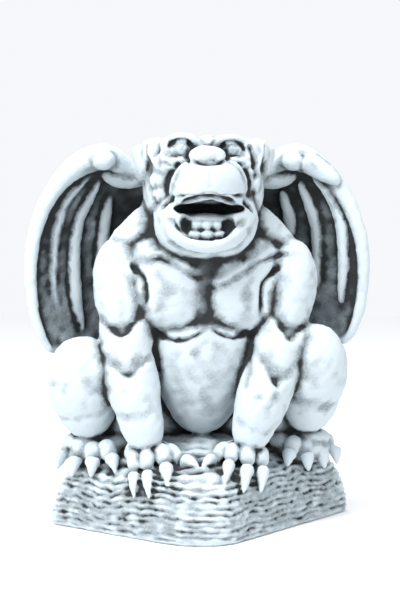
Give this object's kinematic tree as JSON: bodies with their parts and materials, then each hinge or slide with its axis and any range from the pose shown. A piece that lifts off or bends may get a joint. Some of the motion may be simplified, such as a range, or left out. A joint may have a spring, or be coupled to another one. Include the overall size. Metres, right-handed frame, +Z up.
{
  "type": "stone gargoyle",
  "caption": "Carved stone gargoyle: a winged, open-mouthed beast that squats on a rock base with its clawed hands between its feet.",
  "frame": {"origin": "on the ground, under the middle of the box around the whole carving", "axes": "+Z up; the gargoyle faces -Y; +X to its own left, which is the right as seen from in front"},
  "size_m": [0.4544, 0.3782, 0.5],
  "materials": {
    "stone": "chiselled blue-grey stone, matt, with pale wear on its edges and dark dirt in its hollows"
  },
  "bodies": {
    "root": {"gargoyle": "stone"}
  },
  "joints": []
}
